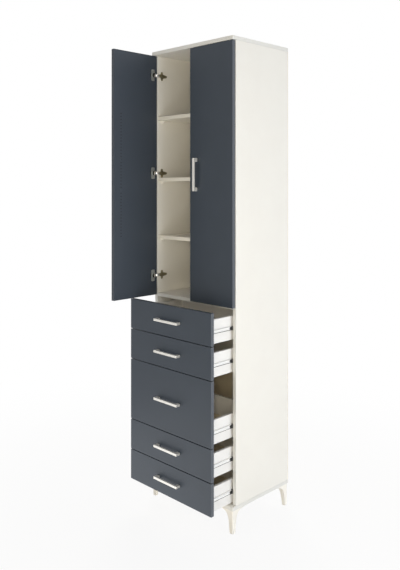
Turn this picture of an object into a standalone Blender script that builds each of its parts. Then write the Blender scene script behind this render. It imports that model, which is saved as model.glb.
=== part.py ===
"""A tall cabinet: two hinged doors over shelves, five drawers below, on four bracket feet.

Metres, +Z up. The carcass frame has X = 0 on the cabinet's centre line, Y = 0 on the face of the
closed fronts and Z = 0 on the floor. The cabinet stands as it is shown: left door open at a right
angle, right door closed, every drawer pulled out.
"""

import math

import bmesh
import bpy
from mathutils import Matrix, Vector

for old in list(bpy.data.objects):
    bpy.data.objects.remove(old)

# Carcass boards
CARCASS_WIDTH = 0.492
SIDE_DEPTH = 0.340
SIDE_HEIGHT = 1.875
BOARD = 0.016
BACK_SHEET = 0.003
BACK_INSET = 0.001
EDGE_BREAK = 0.0006

# Gap between pieces that touch
SEAM = 0.0003

# Door and drawer fronts
FRONT_BOARD = 0.016
FRONT_STANDOFF = 0.003
FRONT_REVEAL = 0.001
FRONT_GAP = 0.003
DOOR_TOP_GAP = 0.002
BASE_REVEAL = 0.004
SMALL_FRONT = 0.129
TALL_FRONT = 0.261
DRAWER_FRONTS = (SMALL_FRONT, SMALL_FRONT, TALL_FRONT, SMALL_FRONT, SMALL_FRONT)

# How the cabinet stands open
DRAWER_PULL = 0.123
LEFT_DOOR_OPENING = math.radians(90)

# Shelves and the wedge supports under their ends
SHELF_SETBACK = 0.004
SHELF_BACK_PLAY = 0.002
SHELF_END_PLAY = 0.0005
SHELF_HINGE_CLEARANCE = 0.0005
SUPPORT_SIZE = 0.012
SUPPORT_WIDTH = 0.010
SUPPORT_FROM_EDGE = 0.020

# Drawer boxes
BOX_HEIGHT = 0.096
BOX_LENGTH = 0.270
BOX_BOARD = 0.012
BOX_LIFT = 0.001
BOX_SIDE_ROOM = 0.010
BOTTOM_SHEET = 0.003
BOTTOM_RISE = 0.008
GROOVE_DEPTH = 0.006

# Runners: a channel on the side panel, and a slide on the box that runs in it
RAIL_HEIGHT = 0.017
RAIL_SHEET = 0.0012
RAIL_LENGTH = 0.270
RAIL_SETBACK = 0.003
RAIL_BOX_GAP = 0.0019
RUNNER_PLAY = 0.0003
SLIDE_END_SETBACK = 0.002

# Bar handles
HANDLE_LENGTH = 0.140
HANDLE_WIDTH = 0.010
HANDLE_PROJECTION = 0.022
HANDLE_BAR = 0.008
HANDLE_POST = 0.016
HANDLE_EDGE = 0.0008
DOOR_HANDLE_INSET = 0.039

# Concealed hinges: where they sit
HINGE_FROM_END = 0.088
MIDDLE_HINGE_RAISE = 0.010
AXIS_FROM_EDGE = 0.007
AXIS_FROM_BACK = 0.008

# Hinge cup, let into the door's inner face
CUP_RADIUS = 0.0172
CUP_DEPTH = 0.0112
CUP_WALL = 0.0014
CUP_FLOOR = 0.0007
CUP_RIM_MARGIN = 0.0035
FLANGE_HEIGHT = 0.052
FLANGE_WIDTH = 0.020
FLANGE_SHEET = 0.0012
PIN_RADIUS = 0.00095
PIN_PLAY = 0.0003
PIN_BITE = 0.0005

# Hinge arm and its mounting plate, on the side panel
KNUCKLE_RADIUS = 0.0022
NECK_HEIGHT = 0.008
NECK_PLAY = 0.0012
NECK_SHEET = 0.0024
NECK_BACK = 0.0005
ARM_RISE = 0.0065
ARM_SHEET = 0.003
ARM_REACH = 0.052
ARM_HEIGHT = 0.015
ARM_START = 0.005
PLATE_SHEET = 0.002
PLATE_WING = 0.020
PLATE_WING_WIDTH = 0.012
PLATE_WING_SETBACK = 0.019
PLATE_LENGTH = 0.036

# Bracket feet
FOOT_HEIGHT = 0.094
FOOT_INSET = 0.0035
FOOT_WALL = 0.015
FOOT_TIP = 0.0165
WING_LENGTH = 0.105
WING_EDGE = 0.0015
KNEE_REACH = 0.024
KNEE_DROP = 0.0065
LEG_SIDE = 0.030
LEG_SETBACK = 0.0005

# Fineness of round shapes
ROUND_SIDES = 24
WING_STEPS = 12
SHARP_ANGLE = math.radians(35)
OVERLAP = 0.001

# Heights and depths that follow
half_width = CARCASS_WIDTH / 2
inner_half = half_width - BOARD
carcass_front = FRONT_BOARD + FRONT_STANDOFF
carcass_back = carcass_front + SIDE_DEPTH
full_depth = carcass_back + BACK_SHEET
foot_top = FOOT_HEIGHT - SEAM
base_top = FOOT_HEIGHT + BOARD
top_under = base_top + SIDE_HEIGHT

drawer_base = [base_top + BASE_REVEAL]
for front_height in reversed(DRAWER_FRONTS):
    drawer_base.append(drawer_base[-1] + front_height + FRONT_GAP)
door_base = drawer_base.pop()
drawer_base.reverse()
door_height = top_under - DOOR_TOP_GAP - door_base
front_width = CARCASS_WIDTH - 2 * FRONT_REVEAL
door_width = (front_width - FRONT_GAP) / 2

hinge_heights = {
    "lower": HINGE_FROM_END,
    "middle": door_height / 2 + MIDDLE_HINGE_RAISE,
    "upper": door_height - HINGE_FROM_END,
}
axis_x = half_width - FRONT_REVEAL - AXIS_FROM_EDGE
axis_y = FRONT_BOARD - AXIS_FROM_BACK
bore_radius = CUP_RADIUS + SEAM
cup_from_axis = CUP_RIM_MARGIN + bore_radius - AXIS_FROM_EDGE

divider_top = door_base + BOARD / 2
middle_shelf = door_base + hinge_heights["middle"] - PLATE_WING - SHELF_HINGE_CLEARANCE
shelf_tops = {
    "lower": (divider_top + middle_shelf) / 2,
    "middle": middle_shelf,
    "upper": (middle_shelf + top_under) / 2,
}

# The origin is under the middle of the box round the cabinet as it stands
rest_low_x = -axis_x - axis_y - HANDLE_PROJECTION
door_tip_y = axis_y - (door_width - AXIS_FROM_EDGE)
rest_low_y = min(door_tip_y, -DRAWER_PULL - HANDLE_PROJECTION)
origin = Vector(((rest_low_x + half_width) / 2, (rest_low_y + full_depth) / 2, 0))


# Finishes
def linear(channel):
    """One sRGB channel, 0 to 255, as linear light."""
    value = channel / 255
    return value / 12.92 if value <= 0.04045 else ((value + 0.055) / 1.055) ** 2.4


def finish(name, colour, roughness, metallic=0.0):
    material = bpy.data.materials.new(name)
    material.use_nodes = True
    shader = material.node_tree.nodes["Principled BSDF"]
    shader.inputs["Base Color"].default_value = [linear(channel) for channel in colour] + [1]
    shader.inputs["Roughness"].default_value = roughness
    shader.inputs["Metallic"].default_value = metallic
    return material


cream = finish("cream_melamine", (238, 235, 226), 0.45)
anthracite = finish("anthracite_front", (66, 71, 78), 0.5)
box_white = finish("white_box_board", (236, 236, 234), 0.5)
hardboard = finish("hardboard", (222, 216, 200), 0.6)
nickel = finish("satin_nickel", (205, 203, 198), 0.3, 1.0)
steel = finish("zinc_steel", (176, 178, 180), 0.35, 1.0)
foot_plastic = finish("ivory_plastic", (232, 226, 212), 0.4)


# Building blocks
def block(form, one_corner, other_corner):
    """A box between two opposite corners, given in any order."""
    low = Vector(map(min, one_corner, other_corner))
    high = Vector(map(max, one_corner, other_corner))
    place = Matrix.Translation((low + high) / 2) @ Matrix.Diagonal((*(high - low), 1))
    bmesh.ops.create_cube(form, size=1, matrix=place)


def rod(form, start, end, radius):
    """A cylinder from one point to another."""
    start = Vector(start)
    end = Vector(end)
    turn = Vector((0, 0, 1)).rotation_difference(end - start).to_matrix().to_4x4()
    bmesh.ops.create_cone(
        form,
        cap_ends=True,
        segments=ROUND_SIDES,
        radius1=radius,
        radius2=radius,
        depth=(end - start).length,
        matrix=Matrix.Translation((start + end) / 2) @ turn,
    )


def prism(form, outline, travel):
    """A flat outline of points in space, drawn out along a vector."""
    face = form.faces.new([form.verts.new(point) for point in outline])
    grown = bmesh.ops.extrude_face_region(form, geom=[face])
    moved = [item for item in grown["geom"] if isinstance(item, bmesh.types.BMVert)]
    bmesh.ops.translate(form, verts=moved, vec=travel)
    bmesh.ops.recalc_face_normals(form, faces=form.faces)


def placed(name, form, parent):
    mesh = bpy.data.meshes.new(name)
    form.to_mesh(mesh)
    form.free()
    mesh.shade_smooth()
    mesh.set_sharp_from_angle(angle=SHARP_ANGLE)
    made = bpy.data.objects.new(name, mesh)
    made.parent = parent
    bpy.context.scene.collection.objects.link(made)
    return made


def piece(name, form, parent, material, edge=0.0):
    """A sub-part of the cabinet, with its edges broken where a width is given."""
    made = placed(name, form, parent)
    made.data.materials.append(material)
    if edge:
        bevel = made.modifiers.new("broken_edges", "BEVEL")
        bevel.width = edge
        bevel.segments = 1
        bevel.limit_method = "ANGLE"
    return made


def combine(target, label, operation, form):
    """Join a second shape to a sub-part, or cut it away."""
    helper = placed(f"{target.name}_{label}", form, target.parent)
    helper.hide_render = True
    helper.display_type = "WIRE"
    boolean = target.modifiers.new(label, "BOOLEAN")
    boolean.operation = operation
    boolean.object = helper


def pivot(name, parent, location, turn=0.0):
    """An empty that carries a moving body's pieces."""
    made = bpy.data.objects.new(name, None)
    made.parent = parent
    made.location = location
    made.rotation_euler = (0, 0, turn)
    bpy.context.scene.collection.objects.link(made)
    return made


# Carcass
def carcass_boards(cabinet):
    for label, side in (("left", -1), ("right", 1)):
        form = bmesh.new()
        low = (side * inner_half, carcass_front, base_top + SEAM)
        block(form, low, (side * half_width, carcass_back, top_under - SEAM))
        piece(f"{label}_side_panel", form, cabinet, cream, EDGE_BREAK)

    for label, low in (("bottom", FOOT_HEIGHT), ("top", top_under)):
        form = bmesh.new()
        block(form, (-half_width, 0, low), (half_width, full_depth, low + BOARD))
        piece(f"{label}_panel", form, cabinet, cream, EDGE_BREAK)

    form = bmesh.new()
    end = inner_half - SEAM
    block(form, (-end, carcass_front, divider_top - BOARD), (end, carcass_back, divider_top))
    piece("divider_panel", form, cabinet, cream, EDGE_BREAK)

    form = bmesh.new()
    edge = half_width - BACK_INSET
    low = (-edge, carcass_back + SEAM, base_top + SEAM)
    block(form, low, (edge, full_depth, top_under - SEAM))
    piece("back_panel", form, cabinet, hardboard)


def shelf(label, top, cabinet):
    """A loose shelf with a wedge support under each corner."""
    front = carcass_front + SHELF_SETBACK
    back = carcass_back - SHELF_BACK_PLAY
    end = inner_half - SHELF_END_PLAY
    under = top - BOARD
    form = bmesh.new()
    block(form, (-end, front, under), (end, back, top))
    made = piece(f"{label}_shelf", form, cabinet, cream, EDGE_BREAK)

    form = bmesh.new()
    seat = inner_half - SEAM
    for side in (-1, 1):
        for start in (front + SUPPORT_FROM_EDGE, back - SUPPORT_FROM_EDGE - SUPPORT_WIDTH):
            outline = (
                (side * seat, start, under + OVERLAP),
                (side * (seat - SUPPORT_SIZE), start, under + OVERLAP),
                (side * (seat - SUPPORT_SIZE), start, under - OVERLAP),
                (side * seat, start, under - SUPPORT_SIZE),
            )
            prism(form, outline, (0, SUPPORT_WIDTH, 0))
    combine(made, "supports", "UNION", form)


# Feet
def wing_curve():
    """The lower edge of a foot's wing, as distance from the corner and height over the floor.

    It is one curve with a double control point at the knee, from the wing's tip down to the
    leg's inner edge on the floor.
    """
    tip = Vector((WING_LENGTH, foot_top - WING_EDGE))
    knee = Vector((KNEE_REACH, foot_top - KNEE_DROP))
    floor = Vector((FOOT_TIP, 0))
    points = []
    for step in range(WING_STEPS + 1):
        along = step / WING_STEPS
        rest = 1 - along
        points.append(rest**3 * tip + 3 * along * rest * knee + along**3 * floor)
    return points


def tapered_leg(form, corner, toward, curve):
    """A square post in the corner of the wings, which narrows with their lower edge."""
    sections = [Vector((LEG_SIDE, foot_top))]
    sections += [point for point in curve if point.x < LEG_SIDE]
    rings = []
    for width, height in sections:
        near, far = LEG_SETBACK, width - LEG_SETBACK
        square = (Vector((near, near)), Vector((far, near)), Vector((far, far)), Vector((near, far)))
        rings.append([form.verts.new((*(corner + toward * point), height)) for point in square])
    form.faces.new(rings[0])
    form.faces.new(rings[-1])
    for upper, lower in zip(rings, rings[1:]):
        for index in range(len(upper)):
            form.faces.new((upper[index - 1], upper[index], lower[index], lower[index - 1]))
    bmesh.ops.recalc_face_normals(form, faces=form.faces)


def foot(label, side, corner_y, inward, cabinet):
    """Two wings at a right angle, and a leg in their corner."""
    corner_x = side * (half_width - FOOT_INSET)
    curve = wing_curve()
    outline = [Vector((0, 0)), Vector((0, foot_top)), Vector((WING_LENGTH, foot_top)), *curve]

    form = bmesh.new()
    across = [(corner_x - side * point.x, corner_y, point.y) for point in outline]
    prism(form, across, (0, inward * FOOT_WALL, 0))
    made = piece(f"{label}_foot", form, cabinet, foot_plastic)

    form = bmesh.new()
    along = [(corner_x, corner_y + inward * point.x, point.y) for point in outline]
    prism(form, along, (-side * FOOT_WALL, 0, 0))
    combine(made, "side_wing", "UNION", form)

    form = bmesh.new()
    tapered_leg(form, Vector((corner_x, corner_y)), Vector((-side, inward)), curve)
    combine(made, "leg", "UNION", form)


def feet(cabinet):
    for depth_label, corner_y, inward in (
        ("front", FOOT_INSET, 1),
        ("rear", full_depth - FOOT_INSET, -1),
    ):
        for side_label, side in (("left", -1), ("right", 1)):
            foot(f"{depth_label}_{side_label}", side, corner_y, inward, cabinet)


# Handles
def handle(name, parent, centre, along, across, material):
    """A square bar on two end posts, standing out from a front at y = centre.y."""
    half = HANDLE_LENGTH / 2
    inner = half - HANDLE_POST
    under_bar = HANDLE_PROJECTION - HANDLE_BAR
    outline = (
        (-half, SEAM),
        (-half, HANDLE_PROJECTION),
        (half, HANDLE_PROJECTION),
        (half, SEAM),
        (inner, SEAM),
        (inner, under_bar),
        (-inner, under_bar),
        (-inner, SEAM),
    )
    outward = Vector((0, -1, 0))
    start = Vector(centre) - across * HANDLE_WIDTH / 2
    form = bmesh.new()
    prism(form, [start + along * a + outward * out for a, out in outline], across * HANDLE_WIDTH)
    piece(name, form, parent, material, HANDLE_EDGE)


# Hinges
def hinge_cup(name, parent, side, height):
    """A cup with two screw ears, slotted on its outer side for the arm, and the pivot pin."""
    centre_x = -side * cup_from_axis
    face = AXIS_FROM_BACK + SEAM
    floor = AXIS_FROM_BACK - CUP_DEPTH
    inner_radius = CUP_RADIUS - CUP_WALL
    slot = NECK_HEIGHT / 2 + NECK_PLAY
    outside = face + FLANGE_SHEET + OVERLAP

    form = bmesh.new()
    low = (centre_x - FLANGE_WIDTH / 2, face, height - FLANGE_HEIGHT / 2)
    high = (centre_x + FLANGE_WIDTH / 2, face + FLANGE_SHEET, height + FLANGE_HEIGHT / 2)
    block(form, low, high)
    made = piece(name, form, parent, nickel)

    form = bmesh.new()
    rod(form, (centre_x, floor, height), (centre_x, face + FLANGE_SHEET / 2, height), CUP_RADIUS)
    combine(made, "shell", "UNION", form)

    form = bmesh.new()
    rod(form, (centre_x, floor + CUP_FLOOR, height), (centre_x, outside, height), inner_radius)
    combine(made, "hollow", "DIFFERENCE", form)

    form = bmesh.new()
    low = (centre_x, floor + CUP_FLOOR, height - slot)
    block(form, low, (centre_x + side * (CUP_RADIUS + OVERLAP), outside, height + slot))
    combine(made, "slot", "DIFFERENCE", form)

    anchor_radius = inner_radius + PIN_BITE
    pin_half = math.sqrt(anchor_radius**2 - cup_from_axis**2)
    form = bmesh.new()
    rod(form, (0, 0, height - pin_half), (0, 0, height + pin_half), PIN_RADIUS)
    combine(made, "pin", "UNION", form)


def hinge_arm(name, parent, side, height):
    """An angled arm from the pivot to a cross-shaped plate on the side panel's inner face."""
    wall = inner_half - SEAM
    leg_far = wall - ARM_RISE
    leg_near = leg_far + ARM_SHEET
    neck_back = axis_y + NECK_BACK
    neck_front = neck_back - NECK_SHEET
    arm_end = carcass_front + ARM_REACH
    low = height - NECK_HEIGHT / 2
    high = height + NECK_HEIGHT / 2

    form = bmesh.new()
    outline = (
        (side * axis_x, neck_front, low),
        (side * leg_far, neck_front, low),
        (side * leg_far, arm_end - OVERLAP, low),
        (side * leg_near, arm_end - OVERLAP, low),
        (side * leg_near, neck_back, low),
        (side * axis_x, neck_back, low),
    )
    prism(form, outline, (0, 0, NECK_HEIGHT))
    made = piece(name, form, parent, nickel)

    form = bmesh.new()
    rod(form, (side * axis_x, axis_y, low), (side * axis_x, axis_y, high), KNUCKLE_RADIUS)
    combine(made, "knuckle", "UNION", form)

    form = bmesh.new()
    start = (side * (wall - OVERLAP), carcass_front + ARM_START, height - ARM_HEIGHT / 2)
    block(form, start, (side * (leg_far - OVERLAP), arm_end, height + ARM_HEIGHT / 2))
    combine(made, "body", "UNION", form)

    form = bmesh.new()
    wing_start = carcass_front + PLATE_WING_SETBACK
    wing_end = wing_start + PLATE_WING_WIDTH
    plate_end = wing_start + PLATE_LENGTH
    rib = ARM_HEIGHT / 2 + OVERLAP
    cross = (
        (wing_start, -PLATE_WING),
        (wing_end, -PLATE_WING),
        (wing_end, -rib),
        (plate_end, -rib),
        (plate_end, rib),
        (wing_end, rib),
        (wing_end, PLATE_WING),
        (wing_start, PLATE_WING),
    )
    prism(
        form,
        [(side * wall, depth, height + rise) for depth, rise in cross],
        (-side * PLATE_SHEET, 0, 0),
    )
    combine(made, "plate", "UNION", form)

    form = bmesh.new()
    below = (side * axis_x, axis_y, low - OVERLAP)
    rod(form, below, (side * axis_x, axis_y, high + OVERLAP), PIN_RADIUS + PIN_PLAY)
    combine(made, "pin_hole", "DIFFERENCE", form)


# Doors
def door(label, side, opening, cabinet):
    """A slab door whose frame sits on its hinge axis, at the height of its lower edge."""
    frame = pivot(f"{label}_door", cabinet, (side * axis_x, axis_y, door_base), opening)
    free_x = -side * (door_width - AXIS_FROM_EDGE)
    face = -axis_y

    form = bmesh.new()
    low = (side * AXIS_FROM_EDGE, face, 0)
    block(form, low, (free_x, AXIS_FROM_BACK, door_height))
    panel = piece(f"{label}_door_panel", form, frame, anthracite, EDGE_BREAK)

    form = bmesh.new()
    bore_floor = AXIS_FROM_BACK - CUP_DEPTH - SEAM
    bore_x = -side * cup_from_axis
    for height in hinge_heights.values():
        rod(form, (bore_x, bore_floor, height), (bore_x, AXIS_FROM_BACK + OVERLAP, height), bore_radius)
    combine(panel, "cup_bores", "DIFFERENCE", form)

    for position, height in hinge_heights.items():
        hinge_cup(f"{label}_{position}_hinge_cup", frame, side, height)
        hinge_arm(f"{label}_{position}_hinge_arm", cabinet, side, door_base + height)

    centre = (free_x + side * DOOR_HANDLE_INSET, face, door_height / 2)
    handle(f"{label}_door_handle", frame, centre, Vector((0, 0, 1)), Vector((1, 0, 0)), nickel)


# Drawers
def drawer_rail(name, side, middle, cabinet):
    """A channel on the side panel, open towards the drawer box."""
    wall = inner_half - SEAM
    web = wall - RAIL_SHEET
    mouth = inner_half - BOX_SIDE_ROOM + RAIL_BOX_GAP
    start = carcass_front + RAIL_SETBACK
    half = RAIL_HEIGHT / 2
    channel = (
        (wall, -half),
        (mouth, -half),
        (mouth, RAIL_SHEET - half),
        (web, RAIL_SHEET - half),
        (web, half - RAIL_SHEET),
        (mouth, half - RAIL_SHEET),
        (mouth, half),
        (wall, half),
    )
    form = bmesh.new()
    prism(form, [(side * x, start, middle + rise) for x, rise in channel], (0, RAIL_LENGTH, 0))
    piece(name, form, cabinet, steel)


def drawer_box(name, frame):
    """Two sides and a back, grooved for the bottom, with a slide along each side."""
    outer = inner_half - BOX_SIDE_ROOM
    inner = outer - BOX_BOARD
    start = FRONT_BOARD + SEAM
    end = start + BOX_LENGTH
    top = BOX_LIFT + BOX_HEIGHT

    form = bmesh.new()
    block(form, (-outer, start, BOX_LIFT), (outer, end, top))
    made = piece(name, form, frame, box_white)

    form = bmesh.new()
    low = (-inner, start - OVERLAP, BOX_LIFT - OVERLAP)
    block(form, low, (inner, end - BOX_BOARD, top + OVERLAP))
    combine(made, "inside", "DIFFERENCE", form)

    form = bmesh.new()
    reach = inner + GROOVE_DEPTH
    sheet_low = BOX_LIFT + BOTTOM_RISE
    low = (-reach, start - OVERLAP, sheet_low - SEAM)
    high = (reach, end - BOX_BOARD + GROOVE_DEPTH, sheet_low + BOTTOM_SHEET + SEAM)
    block(form, low, high)
    combine(made, "groove", "DIFFERENCE", form)

    form = bmesh.new()
    slide_half = RAIL_HEIGHT / 2 - RAIL_SHEET - RUNNER_PLAY
    slide_face = inner_half - SEAM - RAIL_SHEET - RUNNER_PLAY
    middle = BOX_LIFT + BOX_HEIGHT / 2
    for side in (-1, 1):
        low = (side * (outer - OVERLAP), start + SLIDE_END_SETBACK, middle - slide_half)
        block(form, low, (side * slide_face, end - SLIDE_END_SETBACK, middle + slide_half))
    combine(made, "slides", "UNION", form)

    form = bmesh.new()
    edge = reach - SEAM
    high = (edge, end - BOX_BOARD + GROOVE_DEPTH - SEAM, sheet_low + BOTTOM_SHEET)
    block(form, (-edge, start, sheet_low), high)
    piece(name.replace("box", "bottom"), form, frame, hardboard)


def drawer(number, base, height, cabinet):
    """A drawer whose frame sits at the foot of its front's face."""
    frame = pivot(f"drawer_{number}", cabinet, (0, -DRAWER_PULL, base))
    form = bmesh.new()
    block(form, (-front_width / 2, 0, 0), (front_width / 2, FRONT_BOARD, height))
    piece(f"drawer_{number}_front", form, frame, anthracite, EDGE_BREAK)
    drawer_box(f"drawer_{number}_box", frame)
    along = Vector((1, 0, 0))
    handle(f"drawer_{number}_handle", frame, (0, 0, height / 2), along, Vector((0, 0, 1)), nickel)
    middle = base + BOX_LIFT + BOX_HEIGHT / 2
    for label, side in (("left", -1), ("right", 1)):
        drawer_rail(f"drawer_{number}_{label}_rail", side, middle, cabinet)


# Assembly
cabinet_frame = pivot("cabinet", None, -origin)
carcass_boards(cabinet_frame)
for shelf_label, shelf_top in shelf_tops.items():
    shelf(shelf_label, shelf_top, cabinet_frame)
feet(cabinet_frame)
door("left", -1, -LEFT_DOOR_OPENING, cabinet_frame)
door("right", 1, 0.0, cabinet_frame)
for index, (base, height) in enumerate(zip(drawer_base, DRAWER_FRONTS)):
    drawer(index + 1, base, height, cabinet_frame)
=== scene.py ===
# %% [markdown]
# # A tall cabinet, dressed piece by piece
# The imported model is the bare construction: boards, doors, drawers, hinges and feet, each where it works.
# This notebook loads it as a fixed frame and gives it looks. Flat boards keep their solids and get a finish.
# Handles, feet, hinges, runners and drawer boxes are drawn again as smooth surfaces with numpy, because a
# surface written as a formula can be as round as it needs to be, and still sits exactly on its solid.

# %% Load the frame
import math

import bmesh
import bpy
import numpy as np
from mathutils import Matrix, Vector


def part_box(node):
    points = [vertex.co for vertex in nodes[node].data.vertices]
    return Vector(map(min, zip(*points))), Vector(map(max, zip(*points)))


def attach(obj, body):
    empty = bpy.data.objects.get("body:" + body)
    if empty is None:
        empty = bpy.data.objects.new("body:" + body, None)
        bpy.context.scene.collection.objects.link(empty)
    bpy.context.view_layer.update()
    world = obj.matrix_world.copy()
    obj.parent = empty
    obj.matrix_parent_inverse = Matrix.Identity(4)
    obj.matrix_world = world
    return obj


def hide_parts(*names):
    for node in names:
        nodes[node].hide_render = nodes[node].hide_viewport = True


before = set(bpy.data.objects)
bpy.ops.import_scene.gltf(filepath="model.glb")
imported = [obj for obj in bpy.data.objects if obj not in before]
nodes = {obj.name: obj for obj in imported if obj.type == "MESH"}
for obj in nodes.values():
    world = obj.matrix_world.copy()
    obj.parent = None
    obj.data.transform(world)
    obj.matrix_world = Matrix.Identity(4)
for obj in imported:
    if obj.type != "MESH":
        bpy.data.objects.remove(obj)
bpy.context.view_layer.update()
scene = bpy.context.scene
scene.view_settings.view_transform = "Standard"

# %% [markdown]
# ## The camera
# The picture was taken level, at chest height, half way between the front and the right side, and its frame
# was lowered afterwards so that upright edges stay upright. Blender calls that lowering shift. A camera that
# is tilted down instead would make the cabinet look narrower at its feet.

# %% Camera
CAMERA_PLACE = (2.0175, -2.0120, 1.4003)
CAMERA_LEVEL, CAMERA_TURN = math.radians(90), math.radians(45)
SENSOR_WIDTH, FOCAL_LENGTH = 36, 41.406
FRAME_SHIFT = -0.1752

lens = bpy.data.cameras.new("camera")
lens.sensor_width = SENSOR_WIDTH
lens.lens = FOCAL_LENGTH
lens.shift_y = FRAME_SHIFT
camera = bpy.data.objects.new("camera", lens)
camera.location = CAMERA_PLACE
camera.rotation_euler = (CAMERA_LEVEL, 0, CAMERA_TURN)
scene.collection.objects.link(camera)
scene.camera = camera
print("camera at", CAMERA_PLACE, "with a lens of", FOCAL_LENGTH, "mm")

# %% [markdown]
# ## Small helpers for nodes
# A finish is a small network of shader nodes. A few helpers keep the networks readable: one adds a node and
# fills its sockets, with plain values or with links, and one starts a group with named sockets. Colours are
# written as the eye names them, from 0 to 255, and turned into the linear light that shaders count in.

# %% Node helpers
NUMBER, VECTOR = "NodeSocketFloat", "NodeSocketVector"


def linear(red, green, blue):
    """A colour of 0 to 255 as linear light with full alpha: near enough its share to the power 2.4."""
    share = np.array((red, green, blue)) / 255
    light = np.where(share <= 0.04045, share / 12.92, ((share + 0.055) / 1.055) ** 2.4)
    return (*light.tolist(), 1.0)


def add(tree, kind, sockets, **settings):
    """A node with its settings, and its inputs filled by values or linked from other nodes' outputs."""
    node = tree.nodes.new(kind)
    for name, value in settings.items():
        setattr(node, name, value)
    for name, value in sockets.items():
        if isinstance(value, bpy.types.NodeSocket):
            tree.links.new(value, node.inputs[name])
        else:
            node.inputs[name].default_value = value
    return node


def arithmetic(tree, operation, one, other=0.0):
    return add(tree, "ShaderNodeMath", {0: one, 1: other}, operation=operation).outputs[0]


def vectors(tree, operation, one, other=(0, 0, 0)):
    """Vector arithmetic. Gives a number for a length or a dot product, and a vector otherwise."""
    node = add(tree, "ShaderNodeVectorMath", {0: one, 1: other}, operation=operation)
    return node.outputs["Value" if operation in ("LENGTH", "DOT_PRODUCT") else "Vector"]


def ramp(tree, value, start, end):
    """A value carried smoothly from 0 at start to 1 at end."""
    sockets = {"Value": value, "From Min": start, "From Max": end}
    return add(tree, "ShaderNodeMapRange", sockets, interpolation_type="SMOOTHSTEP").outputs["Result"]


def mix_colours(tree, share, one, other):
    """One colour at a share of 0, the other at 1. The colour sockets of this node are its numbers 6 and 7."""
    return add(tree, "ShaderNodeMix", {0: share, 6: one, 7: other}, data_type="RGBA").outputs[2]


def start_group(name, inputs, outputs):
    """A shader group with named sockets. Gives its tree, its inputs by name and its output node."""
    tree = bpy.data.node_groups.new(name, "ShaderNodeTree")
    for label, kind in inputs.items():
        tree.interface.new_socket(label, in_out="INPUT", socket_type=kind)
    for label in outputs:
        tree.interface.new_socket(label, in_out="OUTPUT", socket_type=NUMBER)
    return tree, tree.nodes.new("NodeGroupInput").outputs, tree.nodes.new("NodeGroupOutput")


print("node helpers ready")

# %% [markdown]
# ## Studio
# The floor is a plain pale sheet and the surround is white. The camera and the metal see that white, but the
# light that falls on the cabinet comes from the soft boxes and a dimmer surround, so that white boards keep
# their tone. The floor is mixed from the same white and a real matt surface, which keeps a soft shadow round
# the feet, and further out the white takes over, so that no horizon shows.

# %% Floor and surround
WHITE = (1, 1, 1, 1)
SURROUND_LIGHT, CEILING_LIGHT = 0.58, 0.25
FLOOR_SIZE = 14.0
FLOOR_GREY = (240, 240, 240)
FLOOR_MATT_SHARE = 0.10
MATT_REACH = (0.3, 2.2)


def seen_directly(tree):
    """1 for rays from the camera and from mirrors or glass, 0 for the rays that light a matt surface."""
    path = add(tree, "ShaderNodeLightPath", {}).outputs
    mirrors = arithmetic(tree, "MAXIMUM", path["Is Glossy Ray"], path["Is Transmission Ray"])
    return arithmetic(tree, "MAXIMUM", path["Is Camera Ray"], mirrors)


def blend(tree, share, one, other):
    return add(tree, "ShaderNodeMixShader", {0: share, 1: one.outputs[0], 2: other.outputs[0]}).outputs[0]


world = bpy.data.worlds.new("studio")
world.use_nodes = True
scene.world = world
surround = world.node_tree
surround.nodes.clear()
direction = add(surround, "ShaderNodeTexCoord", {}).outputs["Generated"]
height = add(surround, "ShaderNodeSeparateXYZ", {0: direction}).outputs["Z"]
sockets = {"Value": height, "To Min": SURROUND_LIGHT, "To Max": CEILING_LIGHT}
strength = add(surround, "ShaderNodeMapRange", sockets).outputs["Result"]
dim = add(surround, "ShaderNodeBackground", {"Color": WHITE, "Strength": strength})
white = add(surround, "ShaderNodeBackground", {"Color": WHITE, "Strength": 1.0})
add(surround, "ShaderNodeOutputWorld", {"Surface": blend(surround, seen_directly(surround), dim, white)})

sheet = bpy.data.materials.new("floor_sheet")
sheet.use_nodes = True
tree = sheet.node_tree
tree.nodes.clear()
matt = add(tree, "ShaderNodeBsdfDiffuse", {"Color": linear(*FLOOR_GREY)})
glow = add(tree, "ShaderNodeEmission", {"Color": WHITE, "Strength": 1.0})
distance = vectors(tree, "LENGTH", add(tree, "ShaderNodeTexCoord", {}).outputs["Object"])
matt_share = arithmetic(tree, "MULTIPLY", ramp(tree, distance, *reversed(MATT_REACH)), FLOOR_MATT_SHARE)
share = arithmetic(tree, "MULTIPLY", seen_directly(tree), arithmetic(tree, "SUBTRACT", 1.0, matt_share))
add(tree, "ShaderNodeOutputMaterial", {"Surface": blend(tree, share, matt, glow)})

half = FLOOR_SIZE / 2
corners = [(-half, -half, 0), (half, -half, 0), (half, half, 0), (-half, half, 0)]
floor_mesh = bpy.data.meshes.new("floor")
floor_mesh.from_pydata(corners, [], [(0, 1, 2, 3)])
floor_mesh.materials.append(sheet)
floor = bpy.data.objects.new("floor", floor_mesh)
scene.collection.objects.link(floor)
print("floor of", FLOOR_SIZE, "m and a white surround")

# %% [markdown]
# Soft boxes are Area lamps. The largest stands to the right, which makes the right side the brightest face.
# A slim tall one at the camera reaches into the open cabinet, because what the camera sees, that lamp lights.
# One lies on the floor before the drawers, a low one in front shines up at the undersides of the top and the
# shelves, and one hangs high behind, for the back, the left side and the top.

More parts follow.
